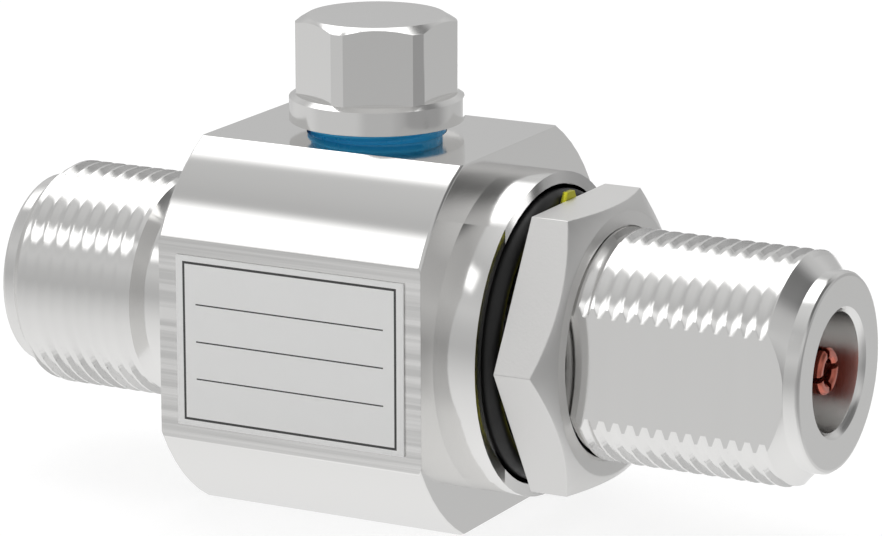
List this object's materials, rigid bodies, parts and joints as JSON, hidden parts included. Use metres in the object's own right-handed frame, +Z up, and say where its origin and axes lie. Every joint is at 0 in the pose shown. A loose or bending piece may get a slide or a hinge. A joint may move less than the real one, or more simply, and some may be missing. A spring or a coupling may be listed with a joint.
{
  "type": "coax lightning arrestor",
  "caption": "Nickel-plated coaxial surge arrestor: a flatted round block with a threaded socket at each end, a bulkhead nut and seal on one, and a hexagon cap over the gas tube.",
  "frame": {"origin": "centre of the block's bottom flat", "axes": "+X along the connector axis towards the bulkhead jack, -Y towards the label, +Z up through the cap"},
  "size_m": [0.0613, 0.0258, 0.0336],
  "materials": {
    "nickel_plate": "bright nickel plate on turned brass",
    "yellow_zinc": "yellow passivated zinc on steel",
    "black_rubber": "smooth moulded rubber",
    "ptfe": "machined white plastic",
    "red_copper": "copper-red plate",
    "bare_brass": "turned brass",
    "tube_ceramic": "fired white ceramic",
    "tube_electrode": "tinned metal",
    "spring_bronze": "stamped spring bronze",
    "blue_sealant": "blue thread sealant",
    "label_film": "printed silver film"
  },
  "bodies": {
    "arrestor": {"body_block": "nickel_plate", "bulkhead_jack_shell": "nickel_plate", "rear_jack_shell": "nickel_plate", "bulkhead_insulator": "ptfe", "rear_insulator": "ptfe", "bulkhead_contact": "red_copper", "rear_contact": "red_copper", "bulkhead_shell_seal": "black_rubber", "rear_shell_seal": "black_rubber", "centre_conductor": "bare_brass", "gas_tube_ceramic": "tube_ceramic", "gas_tube_lower_electrode": "tube_electrode", "gas_tube_upper_electrode": "tube_electrode", "bulkhead_o_ring": "black_rubber", "label_plate": "label_film"},
    "washer": {"lock_washer": "yellow_zinc"},
    "nut": {"bulkhead_nut": "nickel_plate"},
    "spring": {"contact_spring": "spring_bronze"},
    "cap": {"hex_cap": "nickel_plate", "cap_thread_seal": "blue_sealant"}
  },
  "joints": [
    {"name": "washer_travel", "type": "slide", "parent": "arrestor", "child": "washer", "axis": [1, 0, 0], "range_m": [0, 0.01482]},
    {"name": "nut_turn", "type": "hinge", "parent": "washer", "child": "nut", "pos_m": [0.0144, 0, 0.0128], "axis": [1, 0, 0], "range_deg": [0, 5040]},
    {"name": "cap_lift", "type": "slide", "parent": "arrestor", "child": "spring", "axis": [0, 0, 1], "range_m": [0, 0.00397]},
    {"name": "cap_turn", "type": "hinge", "parent": "spring", "child": "cap", "pos_m": [-0.00025, 0, 0.0212], "axis": [0, 0, 1], "range_deg": [0, 1800]}
  ],
  "couplings": [
    {"joint": "washer_travel", "follows": "nut_turn", "m_per_rad": 0.00016844},
    {"joint": "cap_lift", "follows": "cap_turn", "m_per_rad": 0.00012633}
  ]
}
